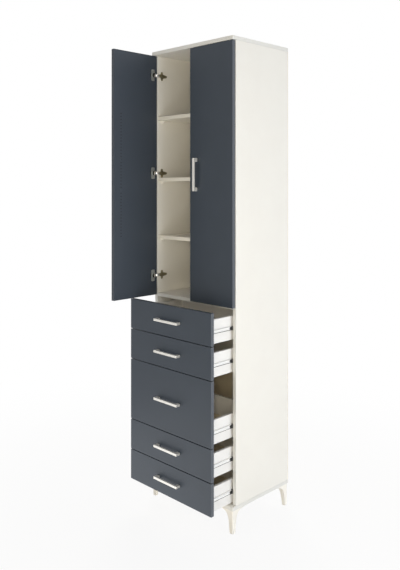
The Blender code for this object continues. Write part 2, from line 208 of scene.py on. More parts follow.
# %% Soft boxes
def soft_box(name, place, aim, size, power, colour=(1, 1, 1)):
    """A lamp of that width and height, which stands at a place and faces its aim."""
    lamp = bpy.data.lights.new(name, "AREA")
    lamp.shape = "RECTANGLE"
    lamp.size, lamp.size_y = size
    lamp.energy = power
    lamp.color = colour
    box = bpy.data.objects.new(name, lamp)
    box.location = place
    direction = np.subtract(aim, place)
    flat = math.hypot(direction[0], direction[1])
    box.rotation_euler = (math.atan2(flat, -direction[2]), 0, math.atan2(-direction[0], direction[1]))
    box.visible_camera = False
    scene.collection.objects.link(box)


soft_box("right_soft_box", (3.6, 0.1, 0.72), (0, 0, 0.3), (2.4, 2.4), 61, (0.85, 0.915, 1.0))
soft_box("camera_soft_box", (2.02, -2.06, 1.35), (-0.1, 0, 1.5), (0.25, 1.2), 18.6, (1.0, 0.88, 0.63))
soft_box("floor_soft_box", (-0.35, -0.75, 0.03), (-0.35, -0.75, 1.0), (1.2, 1.2), 4.0)
soft_box("low_soft_box", (1.3, -1.6, 0.1), (-0.1, 0.1, 1.8), (0.8, 0.8), 10.5, (1.0, 0.95, 0.84))
soft_box("rear_soft_box", (-2.5, 2.7, 3.3), (0, 0.1, 1.1), (2.0, 2.0), 95, (1.0, 0.98, 0.95))

# %% [markdown]
# ## Effects that several finishes share
# Laminate is pressed against a textured plate, so it has a very fine grain and almost no colour change.
# Boards also have an edging: a strip glued round their narrow faces, whose joint shows as a hair line. It is
# found from the distance to the nearest upright narrow face, and for that each board counts as endlessly
# thick and tall. Both are groups with named sockets, and each finish gives them its own sizes.

# %% Pressed grain
MOTTLE_PER_METRE = 14.0
inputs = {"Place": VECTOR, "Grain Size": NUMBER}
tree, given, result = start_group("pressed_grain", inputs, ("Height", "Mottle"))
density = arithmetic(tree, "DIVIDE", 1.0, given["Grain Size"])
grain = add(tree, "ShaderNodeTexNoise", {"Vector": given["Place"], "Scale": density, "Detail": 2.0})
sockets = {"Vector": given["Place"], "Scale": MOTTLE_PER_METRE, "Detail": 3.0}
mottle = add(tree, "ShaderNodeTexNoise", sockets)
tree.links.new(grain.outputs["Fac"], result.inputs["Height"])
tree.links.new(mottle.outputs["Fac"], result.inputs["Mottle"])
print("group", tree.name)

# %% Board edges
SEAM_HALF_WIDTH = 0.00012
inputs = {"Place": VECTOR, "Centre": VECTOR, "Half Size": VECTOR, "Reach": NUMBER}
tree, given, result = start_group("board_edges", inputs, ("Edge", "Seam"))
apart = vectors(tree, "ABSOLUTE", vectors(tree, "SUBTRACT", given["Place"], given["Centre"]))
inside = vectors(tree, "SUBTRACT", given["Half Size"], apart)
x, y, z = add(tree, "ShaderNodeSeparateXYZ", {0: inside}).outputs
to_edge = arithmetic(tree, "MINIMUM", arithmetic(tree, "MINIMUM", x, y), z)
on_edging = ramp(tree, to_edge, arithmetic(tree, "ADD", given["Reach"], SEAM_HALF_WIDTH), given["Reach"])
tree.links.new(on_edging, result.inputs["Edge"])
off_seam = arithmetic(tree, "ABSOLUTE", arithmetic(tree, "SUBTRACT", to_edge, given["Reach"]))
tree.links.new(ramp(tree, off_seam, SEAM_HALF_WIDTH, 0.0), result.inputs["Seam"])
print("group", tree.name)

# %% [markdown]
# Metal that is drawn or brushed carries fine lines in one direction. They are ordinary noise in space that is
# squeezed: coordinates count for little along the lines and for much across them. Hardboard is felted wood
# fibre, and its flecks are short stretched specks of noise.

# %% Drawn lines and fibre flecks
FELT_PER_METRE = 260.0
FLECK_EDGE, FLECK_CORE = 0.28, 0.05
inputs = {"Place": VECTOR, "Squeeze": VECTOR}
tree, given, result = start_group("drawn_lines", inputs, ("Streak",))
squeezed = vectors(tree, "MULTIPLY", given["Place"], given["Squeeze"])
streak = add(tree, "ShaderNodeTexNoise", {"Vector": squeezed, "Scale": 1.0, "Detail": 4.0})
tree.links.new(streak.outputs["Fac"], result.inputs["Streak"])
print("group", tree.name)

tree, given, result = start_group("fibre_flecks", inputs, ("Fleck", "Felt"))
squeezed = vectors(tree, "MULTIPLY", given["Place"], given["Squeeze"])
fibres = add(tree, "ShaderNodeTexVoronoi", {"Vector": squeezed, "Scale": 1.0})
felt = add(tree, "ShaderNodeTexNoise", {"Vector": given["Place"], "Scale": FELT_PER_METRE, "Detail": 5.0})
tree.links.new(ramp(tree, fibres.outputs["Distance"], FLECK_EDGE, FLECK_CORE), result.inputs["Fleck"])
tree.links.new(felt.outputs["Fac"], result.inputs["Felt"])
print("group", tree.name)

# %% [markdown]
# ## Finishes
# Every finish is one Principled shader. What is the same all over a surface, such as the metallic value, is
# set on the shader. What changes over it, such as tone and roughness, comes from the groups above. The grain
# goes into a Bump node, because it is far too fine to be modelled.

# %% Shared parts of a finish
DOT_SOFTNESS = 0.1


def start_finish(name, **plain):
    """A material with one Principled shader, its plain values set. Gives material, tree and shader."""
    finish = bpy.data.materials.new(name)
    finish.use_nodes = True
    tree = finish.node_tree
    shader = tree.nodes["Principled BSDF"]
    for label, value in plain.items():
        shader.inputs[label.replace("_", " ")].default_value = value
    return finish, tree, shader


def place_of(tree):
    return add(tree, "ShaderNodeTexCoord", {}).outputs["Object"]


def use_group(tree, name, **sockets):
    sockets = {label.replace("_", " "): value for label, value in sockets.items()}
    return add(tree, "ShaderNodeGroup", sockets, node_tree=bpy.data.node_groups[name]).outputs


def raise_grain(tree, shader, height, distance):
    """Sends a height into the shader's normal, through a Bump node of that depth in metres."""
    bump = add(tree, "ShaderNodeBump", {"Height": height, "Distance": distance, "Strength": 1.0})
    tree.links.new(bump.outputs[0], shader.inputs["Normal"])


def lay(tree, shader, colour, height, gloss, depth):
    """Gives the shader its colour, its bump, and a roughness that follows the height from gloss to gloss."""
    tree.links.new(colour, shader.inputs["Base Color"])
    sockets = {"Value": height, "To Min": gloss[0], "To Max": gloss[1]}
    polish = add(tree, "ShaderNodeMapRange", sockets)
    tree.links.new(polish.outputs["Result"], shader.inputs["Roughness"])
    raise_grain(tree, shader, height, depth)


def row_of_dots(tree, along, across, spacing, radius):
    """1 on the dots of a row: one lies at each multiple of the spacing, where across is 0. Pingpong folds
    the line up, so that every dot lies at 0."""
    folded = arithmetic(tree, "PINGPONG", along, spacing / 2)
    offset = add(tree, "ShaderNodeCombineXYZ", {"X": folded, "Y": across}).outputs[0]
    distance = vectors(tree, "LENGTH", offset)
    return ramp(tree, distance, (1 + DOT_SOFTNESS) * radius, (1 - DOT_SOFTNESS) * radius)


def corners_of(node):
    """The lowest and the highest corner of a solid, as arrays."""
    return [np.array(corner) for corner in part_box(node)]


print("finish helpers ready")

# %% [markdown]
# Laminated boards: the cream carcass and the anthracite fronts differ only in colour and gloss. Each board
# has its own copy of the finish, because the edge effect has to know where the board's middle is. The
# carcass's edging reaches a millimetre onto the face, as a glued strip does. The fronts' edging is a thin
# foil that shows on their narrow faces only, and it is painted lighter than the face: a painted sheen for the
# light from the right. The open door's edging keeps the face's colour, with no light rim. The inside of each
# door is painted a shade lighter than its face, as painted light. Down the inside, on the handle's line, runs
# a row of small pilot holes, painted as near-black dots: painted shade for the dark inside each hole, because
# each is smaller than a pixel.

# %% Laminated board finish
GRAIN_SIZE, GRAIN_DEPTH = 0.0009, 0.00004
BOARD_SPECULAR = 0.35
SEAM_SHARE = 0.35
ENDLESS = 100.0
PAINTED_LIGHT_BLEND = 0.0011
# The pilot holes are near-black dots: painted shade for the dark inside each hole.
PILOT_HOLES, PILOT_SPACING, PILOT_RADIUS = 41, 0.01324, 0.0023
PILOT_HOLE_PAINTED_SHADE = (10, 10, 12)


def paint_door_inside(tree, place, body, middle, lining, inward, handle):
    """The body's colour, painted lighter as painted light on the half of the board that lies inward of its
    middle, with the holes painted near-black as painted shade. They lie in a row that is centred behind the
    handle's middle."""
    depth = vectors(tree, "DOT_PRODUCT", vectors(tree, "SUBTRACT", place, middle), inward)
    from_handle = vectors(tree, "SUBTRACT", place, handle)
    across = vectors(tree, "DOT_PRODUCT", from_handle, (inward[1], inward[0], 0))
    along = add(tree, "ShaderNodeSeparateXYZ", {0: from_handle}).outputs["Z"]
    dots = row_of_dots(tree, along, across, PILOT_SPACING, PILOT_RADIUS)
    row_half = PILOT_HOLES * PILOT_SPACING / 2
    in_row = arithmetic(tree, "LESS_THAN", arithmetic(tree, "ABSOLUTE", along), row_half)
    painted_shade_holes = arithmetic(tree, "MULTIPLY", dots, in_row)
    inside_tone = mix_colours(tree, painted_shade_holes, linear(*lining), linear(*PILOT_HOLE_PAINTED_SHADE))
    return mix_colours(tree, ramp(tree, depth, 0.0, PAINTED_LIGHT_BLEND), body, inside_tone)


def board_finish(node, dark, light, edging_and_sheen, reach, gloss, **lining):
    """Laminate on a board: tone from the mottle, an edging that reaches onto the face, lighter on the fronts
    as a painted sheen, a seam line beside it, and on doors an inside painted lighter as painted light."""
    low, high = corners_of(node)
    middle, half = (low + high) / 2, (high - low) / 2
    half[[half.argmin(), 2]] = ENDLESS
    finish, tree, shader = start_finish(f"{node}_laminate", Specular_IOR_Level=BOARD_SPECULAR)
    place = place_of(tree)
    grain = use_group(tree, "pressed_grain", Place=place, Grain_Size=GRAIN_SIZE)
    edges = use_group(tree, "board_edges", Place=place, Centre=middle, Half_Size=half, Reach=reach)
    colour = mix_colours(tree, grain["Mottle"], linear(*dark), linear(*light))
    if lining:
        # Painted light: the door's inside is painted a shade lighter than its face.
        colour = paint_door_inside(tree, place, colour, middle, **lining)
    # The edging colour: on the cream boards the glued strip's own colour, on the fronts a painted sheen.
    colour = mix_colours(tree, edges["Edge"], colour, linear(*edging_and_sheen))
    seam = arithmetic(tree, "MULTIPLY", edges["Seam"], SEAM_SHARE)
    lay(tree, shader, mix_colours(tree, seam, colour, linear(*dark)), grain["Height"], gloss, GRAIN_DEPTH)
    return finish


CREAM = {
    "dark": (235, 232, 226), "light": (239, 237, 231), "gloss": (0.38, 0.5),
    "edging_and_sheen": (227, 226, 222), "reach": 0.0011,
}
# The anthracite's edging is painted lighter than its face: a painted sheen where the narrow faces catch the
# light from the right.
ANTHRACITE = {
    "dark": (50, 58, 68), "light": (54, 62, 73), "gloss": (0.36, 0.48),
    "edging_and_sheen": (86, 91, 99), "reach": 0.0003,
}
OPEN_DOOR = {**ANTHRACITE, "edging_and_sheen": (54, 61, 71)}
print("two laminates, cream and anthracite")

# %% [markdown]
# The boards whose solids are already right keep them, and only their material slot changes.

# %% Dress the boards
CREAM_BOARDS = ("left_side_panel", "right_side_panel", "top_panel", "bottom_panel", "divider_panel")
DRAWERS = range(1, 6)
# Painted light: the colour of the doors' insides, a shade lighter than their faces.
DOOR_INSIDE_PAINTED_LIGHT = (60, 67, 77)
DOORS_PAINTED_LIGHT_INSIDE = {"left_door": ((1, 0, 0), OPEN_DOOR), "right_door": ((0, 1, 0), ANTHRACITE)}


def dress(node, **look):
    nodes[node].material_slots[0].material = board_finish(node, **look)


for node in CREAM_BOARDS:
    dress(node, **CREAM)
for number in DRAWERS:
    dress(f"drawer_{number}_front", **ANTHRACITE)
for door, (inward, look) in DOORS_PAINTED_LIGHT_INSIDE.items():
    grip = sum(corners_of(f"{door}_handle")) / 2
    dress(f"{door}_panel", lining=DOOR_INSIDE_PAINTED_LIGHT, inward=inward, handle=grip, **look)
print(len(CREAM_BOARDS), "cream boards,", len(DRAWERS), "drawer fronts,", len(DOORS_PAINTED_LIGHT_INSIDE), "doors dressed")

# %% [markdown]
# Thin hardboard closes the back and the drawer bottoms. It is lacquered pale, and fibres show through. The
# back is nailed on all round and along the divider. A nail head is a small disc that hardly stands out, so it
# is a mask in the finish: 1 where the nearest nail is closer than the head's radius.

# %% Hardboard finish
FIBRE_SQUEEZE = (160.0, 160.0, 420.0)
FELT_DARK, FELT_LIGHT, FELT_DEPTH = (230, 216, 191), (239, 227, 205), 0.00008
FLECK_BROWN, FLECK_SHARE = (200, 186, 160), 0.25
NAIL_STEEL = (176, 177, 178)
NAIL_RADIUS, NAIL_RISE, NAIL_INSET = 0.0024, 0.0004, 0.008
NAILS_UP, NAILS_ACROSS = 14, 4


def hardboard_colour(tree, place):
    """Pale lacquer over felted fibre, with flecks a little darker. Gives the colour and the felt's height."""
    fibre = use_group(tree, "fibre_flecks", Place=place, Squeeze=FIBRE_SQUEEZE)
    felted = mix_colours(tree, fibre["Felt"], linear(*FELT_DARK), linear(*FELT_LIGHT))
    share = arithmetic(tree, "MULTIPLY", fibre["Fleck"], FLECK_SHARE)
    return mix_colours(tree, share, felted, linear(*FLECK_BROWN)), fibre["Felt"]


def beyond(tree, value, middle, half):
    """How far a coordinate lies beyond the nearer of the two lines at middle - half and middle + half."""
    apart = arithmetic(tree, "ABSOLUTE", arithmetic(tree, "SUBTRACT", value, middle))
    return arithmetic(tree, "SUBTRACT", apart, half)


def nail_heads(tree, place):
    """Rows up both sides, along top and bottom and along the divider, on the back's outer face alone."""
    low, high = corners_of("back_panel")
    middle, half = (low + high) / 2, (high - low) / 2 - NAIL_INSET
    divider = sum(corners_of("divider_panel"))[2] / 2
    x, y, z = add(tree, "ShaderNodeSeparateXYZ", {0: place}).outputs
    along_x = arithmetic(tree, "SUBTRACT", x, low[0] + NAIL_INSET)
    along_z = arithmetic(tree, "SUBTRACT", z, low[2] + NAIL_INSET)
    step_x, step_z = 2 * half[0] / NAILS_ACROSS, 2 * half[2] / NAILS_UP
    from_sides = beyond(tree, x, middle[0], half[0])
    from_ends = beyond(tree, z, middle[2], half[2])
    from_divider = arithmetic(tree, "SUBTRACT", z, divider)
    upright = row_of_dots(tree, along_z, from_sides, step_z, NAIL_RADIUS)
    level = row_of_dots(tree, along_x, from_ends, step_x, NAIL_RADIUS)
    inner = row_of_dots(tree, along_x, from_divider, step_x, NAIL_RADIUS)
    heads = arithmetic(tree, "MAXIMUM", arithmetic(tree, "MAXIMUM", upright, level), inner)
    return arithmetic(tree, "MULTIPLY", heads, arithmetic(tree, "GREATER_THAN", y, middle[1]))


def hardboard_finish():
    finish, tree, shader = start_finish("hardboard_lacquer", Roughness=0.55)
    colour, felt = hardboard_colour(tree, place_of(tree))
    tree.links.new(colour, shader.inputs["Base Color"])
    raise_grain(tree, shader, felt, FELT_DEPTH)
    return finish


def nailed_back_finish():
    """The same lacquer with bright nail heads: they change colour, metal and height."""
    finish, tree, shader = start_finish("nailed_hardboard", Roughness=0.5)
    place = place_of(tree)
    colour, felt = hardboard_colour(tree, place)
    heads = nail_heads(tree, place)
    tree.links.new(mix_colours(tree, heads, colour, linear(*NAIL_STEEL)), shader.inputs["Base Color"])
    tree.links.new(heads, shader.inputs["Metallic"])
    height = arithmetic(tree, "MULTIPLY", felt, FELT_DEPTH / NAIL_RISE)
    raise_grain(tree, shader, arithmetic(tree, "ADD", height, heads), NAIL_RISE)
    return finish


hardboard = hardboard_finish()
for number in DRAWERS:
    nodes[f"drawer_{number}_bottom"].material_slots[0].material = hardboard
nodes["back_panel"].material_slots[0].material = nailed_back_finish()
print("hardboard on the back and", len(DRAWERS), "drawer bottoms")

# %% [markdown]
# White box board, plastics and metals. The nickel of the handles is drawn along the bar, so it comes in one
# finish for each direction. Zinc-plated runners show the faint grain of rolled sheet.

# %% Small finishes
ALONG, ACROSS = 60.0, 4200.0
ALONG_X, ALONG_Y, ALONG_Z = (ALONG, ACROSS, ACROSS), (ACROSS, ALONG, ACROSS), (ACROSS, ACROSS, ALONG)
STREAK_DEPTH = 0.00001
SATIN, SILKY = (0.42, 0.54), (0.34, 0.46)


def plain_laminate(name, dark, light, gloss):
    finish, tree, shader = start_finish(name)
    grain = use_group(tree, "pressed_grain", Place=place_of(tree), Grain_Size=GRAIN_SIZE)
    tone = mix_colours(tree, grain["Mottle"], linear(*dark), linear(*light))
    lay(tree, shader, tone, grain["Height"], gloss, GRAIN_DEPTH)
    return finish


def metal_finish(name, dark, light, gloss, lines, metal=1.0):
    """Metal with drawn lines: the streaks change its tone and roughness a little and raise a very fine bump.
    A lacquer that scatters some of the light counts as less metal."""
    finish, tree, shader = start_finish(name, Metallic=metal)
    streak = use_group(tree, "drawn_lines", Place=place_of(tree), Squeeze=lines)["Streak"]
    tone = mix_colours(tree, streak, linear(*dark), linear(*light))
    lay(tree, shader, tone, streak, gloss, STREAK_DEPTH)
    return finish


NICKEL = {"dark": (214, 212, 208), "light": (230, 228, 224), "gloss": SATIN, "metal": 0.55}
nickel_level = metal_finish("satin_nickel_level", lines=ALONG_X, **NICKEL)
nickel_upright = metal_finish("satin_nickel_upright", lines=ALONG_Z, **NICKEL)
# The hinge arms' nickel is painted dark and olive: a painted reflection of the dim, warm inside of the
# cabinet.
arm_nickel_painted_reflection = metal_finish("nickel_painted_reflection", (150, 143, 119), (168, 161, 137), SATIN, ALONG_Y)
zinc = metal_finish("zinc_steel", (222, 224, 226), (238, 239, 241), SILKY, ALONG_Y)
box_white = plain_laminate("box_board_white", (234, 233, 232), (238, 237, 236), SATIN)
shelf_cream = plain_laminate("shelf_cream", (236, 231, 218), (240, 235, 223), CREAM["gloss"])
ivory = plain_laminate("foot_ivory", (243, 239, 231), (248, 245, 238), (0.34, 0.44))
runner_white = plain_laminate("runner_white", (235, 235, 235), (239, 239, 239), (0.32, 0.42))
# Black for the rail stops, partly their own colour, and painted shade for the runners' lower strips and
# blocks.
black_plastic_and_painted_shade = plain_laminate("stop_black_and_painted_shade", (30, 30, 31), (42, 41, 41), (0.4, 0.5))
print(len(bpy.data.materials), "materials so far")

# %% [markdown]
# ## Surfaces from formulas
# The next pieces are new meshes. They could be cubes and cylinders with a Bevel modifier, but then all the
# corners of a piece would share one radius. Here each starts as a grid: rows and columns of points worked out
# as whole arrays and joined by quads. An outline gets rounded corners, each with its own radius, and then a
# thickness with rounded edges. A profile is turned round an axis. All roundings are quarter turns.

# %% Grid and outline helpers
X, Y, Z = np.eye(3)


def grid_quads(rows, columns):
    """The corner numbers of each quad of a grid whose last column joins its first."""
    number = np.arange(rows * columns).reshape(rows, columns)
    beside = np.roll(number, -1, axis=1)
    return np.stack((number[:-1], beside[:-1], beside[1:], number[1:]), axis=-1).reshape(-1, 4)


def capped_grid(rows, columns):
    """The quads of such a grid, and one flat face each across its first and its last row."""
    row = np.arange(columns)[None]
    return [grid_quads(rows, columns), row, row + columns * (rows - 1)]


def placed(local, origin, axes):
    """Points at origin + x·axes[0] + y·axes[1] + z·axes[2]."""
    return np.asarray(origin) + local.reshape(-1, 3) @ np.asarray(axes, float)


def quarter_turn(steps):
    """1 - sin a and 1 - cos a, for a from 0 to a quarter turn."""
    angle = np.linspace(0, np.pi / 2, steps)
    return 1 - np.sin(angle), 1 - np.cos(angle)


def rounded_corners(corners, radii, steps=6):
    """Each corner C of an outline becomes a quarter turn of angle a between its edges' directions p and q:
    C + r·((1 - sin a)·p + (1 - cos a)·q)."""
    corners = np.asarray(corners, float)
    radii = np.broadcast_to(radii, len(corners))[:, None, None]
    back = np.roll(corners, 1, axis=0) - corners
    on = np.roll(corners, -1, axis=0) - corners
    back /= np.linalg.norm(back, axis=1, keepdims=True)
    on /= np.linalg.norm(on, axis=1, keepdims=True)
    by_back, by_on = (part[None, :, None] for part in quarter_turn(steps))
    return (corners[:, None] + radii * (by_back * back[:, None] + by_on * on[:, None])).reshape(-1, 2)


def thick_outline(outline, depth, edge, origin, axes, steps=4):
    """A flat outline given a depth. Row j is the outline drawn in by edge·(1 - sin a) and raised by
    edge·(1 - cos a), for a from 0 to a quarter turn, and the same mirrored at the far face."""
    outline = np.asarray(outline, float)
    ahead = np.roll(outline, -1, axis=0)
    if np.sum(outline[:, 0] * ahead[:, 1] - ahead[:, 0] * outline[:, 1]) < 0:
        outline = outline[::-1]
    edges = np.roll(outline, -1, axis=0) - outline
    edges /= np.linalg.norm(edges, axis=1, keepdims=True)
    outward = np.stack((edges[:, 1], -edges[:, 0]), axis=1)
    other = np.roll(outward, 1, axis=0)
    mitre = (outward + other) / (1 + np.sum(outward * other, axis=1, keepdims=True))
    drawn_in, raised = (edge * part for part in quarter_turn(steps))
    drawn_in = np.concatenate((drawn_in, drawn_in[::-1]))[:, None, None]
    raised = np.concatenate((raised, depth - raised[::-1]))[:, None, None]
    flat = outline - drawn_in * mitre
    local = np.concatenate((flat, np.broadcast_to(raised, (*flat.shape[:2], 1))), axis=2)
    return placed(local, origin, axes), capped_grid(*flat.shape[:2])


def polar_shell(angle, radius, height, origin, axes):
    """Rows of radius r and height z over the angles a, as points: x = r·cos a, y = r·sin a."""
    angle, radius, height = np.broadcast_arrays(angle, radius, height)
    local = np.stack((radius * np.cos(angle), radius * np.sin(angle), height), axis=-1)
    return placed(local, origin, axes), [grid_quads(*radius.shape)]


def turned(profile, origin, axes, sides=32):
    """A profile of radius and height turned round axes[2]."""
    radius, height = np.asarray(profile, float).T[:, :, None]
    return polar_shell(np.linspace(0, 2 * np.pi, sides, endpoint=False), radius, height, origin, axes)


print("outline and turning helpers ready")

# %% [markdown]
# A shell is a set of points and its faces. Doubled points are merged, faces are turned outwards, and a
# Weighted Normal modifier keeps large flat faces flat beside their rounded edges.

# %% Make a piece
MERGE_DISTANCE = 1e-6
SMOOTH_BELOW = math.radians(50)


def piece(name, body, slot, finish, *shells):
    """One object from closed shells, riding on a body of the frame. The slot argument is not used."""
    starts = np.cumsum([0, *(len(points) for points, _ in shells)])
    points = np.concatenate([points for points, _ in shells])
    faces = []
    for start, (_, blocks) in zip(starts, shells):
        for block in blocks:
            faces += (block + start).tolist()
    mesh = bpy.data.meshes.new(name)
    mesh.from_pydata(points, [], faces)
    form = bmesh.new()
    form.from_mesh(mesh)
    bmesh.ops.remove_doubles(form, verts=form.verts, dist=MERGE_DISTANCE)
    bmesh.ops.recalc_face_normals(form, faces=form.faces)
    form.to_mesh(mesh)
    form.free()
    mesh.shade_smooth()
    mesh.set_sharp_from_angle(angle=SMOOTH_BELOW)
    mesh.materials.append(finish)
    made = bpy.data.objects.new(name, mesh)
    scene.collection.objects.link(made)
    made.modifiers.new("flat_faces_stay_flat", "WEIGHTED_NORMAL").keep_sharp = True
    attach(made, body)
    return made


print("shells smooth below", round(math.degrees(SMOOTH_BELOW)), "degrees")

# %% [markdown]
# ## Screw heads
# One function makes every screw that shows: a low dome with a cross pressed into it. The cross could be cut
# out with a Boolean, but on a head of a few millimetres a dip in the height does as well. So the dome is a
# polar grid, and it dips wherever a point lies in one of two crossed bars.

# %% Screw heads
DOME_SHARE = 0.6
CROSS_HALF, CROSS_REACH, CROSS_DEPTH, CROSS_SOFTNESS = 1 / 6, 0.62, 0.7, 0.08
HEAD_SINK = 0.0002


def screw_head(radius, height, origin, axes, rings=11, sides=40):
    """Height over the seat: h·(1 - k·(r/R)⁴ - d·cross), k being the dome's share. The cross is 1 where the
    smaller of |x| and |y| is under its half width and the larger one is within its reach. A ring under the
    rim and a point close the head."""
    ring = radius * np.linspace(0, 1, rings)[:, None]
    angle = np.linspace(0, 2 * np.pi, sides, endpoint=False)
    x, y = abs(ring * np.cos(angle)), abs(ring * np.sin(angle))
    soft = CROSS_SOFTNESS * radius
    in_bar = np.clip((CROSS_HALF * radius - np.minimum(x, y)) / soft + 0.5, 0, 1)
    cross = in_bar * np.clip((CROSS_REACH * radius - np.maximum(x, y)) / soft + 0.5, 0, 1)
    dome = height * (1 - DOME_SHARE * (ring / radius) ** 4 - CROSS_DEPTH * cross)
    ring = np.concatenate((ring, ((radius,), (0,))))
    dome = np.concatenate((dome, np.full((2, sides), -HEAD_SINK)))
    return polar_shell(angle, ring, dome, origin, axes)


print("screw heads ready")

# %% [markdown]
# ## Bar handles
# A square bar on two short blocks, all one casting. Three boxes would leave seams that a casting hasn't. Its
# side view is a wide U, so it is drawn as an outline with a soft corner outside and a rounder one where the
# fingers go, and given the bar's width as its depth. Two screws hold it from the inside of the front, under
# low round caps in the front's colour.

# %% Handles
HANDLE_BAR, HANDLE_BLOCK, HANDLE_EDGE = 0.008, 0.016, 0.0011
OUTER_CORNER, FINGER_CORNER, BLOCK_CORNER = 0.0016, 0.0030, 0.0012
HANDLE_SCREW_SPACING = 0.128
CAP_RADIUS, CAP_HEIGHT, CAP_STEPS = 0.0052, 0.0014, 8
cap_rise = np.linspace(0, np.pi / 2, CAP_STEPS)
cap_dome = np.stack((CAP_RADIUS * np.cos(cap_rise) ** 0.5, CAP_HEIGHT * np.sin(cap_rise)), axis=1)
CAP_PROFILE = ((0, 0), (CAP_RADIUS, 0), *cap_dome)
BEHIND_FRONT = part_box("drawer_1_front")[1].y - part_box("drawer_1_handle")[1].y
cap_anthracite = plain_laminate("cap_anthracite", ANTHRACITE["dark"], ANTHRACITE["light"], (0.4, 0.5))


def handle(node, body, finish, along, across, outward):
    """The U outline in (along, outward), as deep as the bar is wide."""
    low, high = corners_of(node)
    length, width, reach = (abs((high - low) @ axis) for axis in (along, across, outward))
    end, under = length / 2, reach - HANDLE_BAR
    inner = end - HANDLE_BLOCK
    corners = (
        (-end, 0), (-inner, 0), (-inner, under), (inner, under),
        (inner, 0), (end, 0), (end, reach), (-end, reach),
    )
    radii = np.repeat((BLOCK_CORNER, FINGER_CORNER, BLOCK_CORNER, OUTER_CORNER), 2)
    outline = rounded_corners(corners, radii)
    seat = (low + high) / 2 - outward * reach / 2
    start = seat - across * width / 2
    shell = thick_outline(outline, width, HANDLE_EDGE, start, (along, outward, across))
    made = piece(f"{node}_bar", body, "satin_nickel", finish, shell)
    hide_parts(node)

    inside = seat - outward * BEHIND_FRONT
    caps = [
        turned(CAP_PROFILE, inside + along * side * HANDLE_SCREW_SPACING / 2, (along, across, -outward))
        for side in (-1, 1)
    ]
    piece(f"{node}_screw_caps", body, "anthracite_front", cap_anthracite, *caps)


handle("left_door_handle", "left_door", nickel_upright, Z, Y, -X)
handle("right_door_handle", "right_door", nickel_upright, Z, X, -Y)
for number in DRAWERS:
    handle(f"drawer_{number}_handle", f"drawer_{number}", nickel_level, X, Z, -Y)
print(2 + len(DRAWERS), "handles")

# %% [markdown]
# ## Bracket feet
# Each foot is a corner bracket: two wings that meet in a leg, with a lower edge that sweeps from the tip of
# the wing down to the floor in one curve. A block with the curve cut away would have sharp edges along it, so
# the foot is a section carried along a path. The path runs in plan from one wing's tip round the outer corner
# to the other tip, and the section is an upright slab with rounded edges whose lower end follows the curve.
# The leg fills the corner behind the slabs: rows of rounded squares, whose side at each height is the wing's
# width there.

# %% Feet
FOOT_WALL, FOOT_TIP = 0.015, 0.0165
FOOT_ROUNDING, FOOT_EDGE, EDGE_LIMIT = 0.0030, 0.0016, 0.4
WING_EDGE, KNEE_REACH, KNEE_DROP = 0.0015, 0.024, 0.0065
LEG_SIDE, LEG_SETBACK, LEG_ROUNDING = 0.030, 0.0005, 0.12
CURVE_STEPS, FLOOR_STEPS, CORNER_STEPS, EDGE_STEPS = 48, 6, 9, 5


def wing_curve(length, top):
    """The wing's lower edge as distance from the corner and height: (1-t)³·tip + 3t(1-t)·knee + t³·floor."""
    t = np.linspace(0, 1, CURVE_STEPS)[:, None]
    tip, knee, floor = (length, top - WING_EDGE), (KNEE_REACH, top - KNEE_DROP), (FOOT_TIP, 0)
    return (1 - t) ** 3 * np.array(tip) + 3 * t * (1 - t) * np.array(knee) + t**3 * np.array(floor)


def rectangle(left, right, low, high):
    return (left, low), (right, low), (right, high), (left, high)


def leg(corner, toward, curve, top):
    """Row by row: setback + (side - 2·setback)·square, from just under the wings' top down to the floor,
    where the setback grows by edge·(1 - sin a) while the height falls to edge·(1 - cos a)."""
    lower = curve[(curve[:, 0] < LEG_SIDE) & (curve[:, 1] > FOOT_EDGE)]
    drawn_in, raised = (FOOT_EDGE * part[::-1] for part in quarter_turn(EDGE_STEPS))
    side = np.concatenate(([LEG_SIDE], lower[:, 0], 0 * raised + FOOT_TIP))[:, None, None]
    setback = LEG_SETBACK + np.concatenate(([0], 0 * lower[:, 0], drawn_in))[:, None, None]
    height = np.concatenate(([top - FOOT_EDGE], lower[:, 1], raised))[:, None, None]
    square = rounded_corners(rectangle(0, 1, 0, 1), LEG_ROUNDING)
    plan = corner + (setback + (side - 2 * setback) * square) * toward
    points = np.concatenate((plan, np.broadcast_to(height, (*plan.shape[:2], 1))), axis=2)
    return points.reshape(-1, 3), capped_grid(*plan.shape[:2])


def foot_path(curve):
    """Plan points of the outer and inner face and the height of the lower edge, from tip to tip. The inner
    face is the outer one moved in by the wall, and stops at the inner corner."""
    flat = np.linspace(FOOT_TIP, FOOT_ROUNDING, FLOOR_STEPS)[1:]
    distance = np.concatenate((curve[:, 0], flat))
    lower = np.concatenate((curve[:, 1], 0 * flat))
    arc = FOOT_ROUNDING * np.stack(quarter_turn(CORNER_STEPS), axis=1)[1:-1]
    one_wing = np.stack((distance, 0 * distance), axis=1)
    outer = np.concatenate((one_wing, arc, one_wing[::-1, ::-1]))
    return outer, np.maximum(outer, FOOT_WALL), np.concatenate((lower, 0 * arc[:, 0], lower[::-1]))


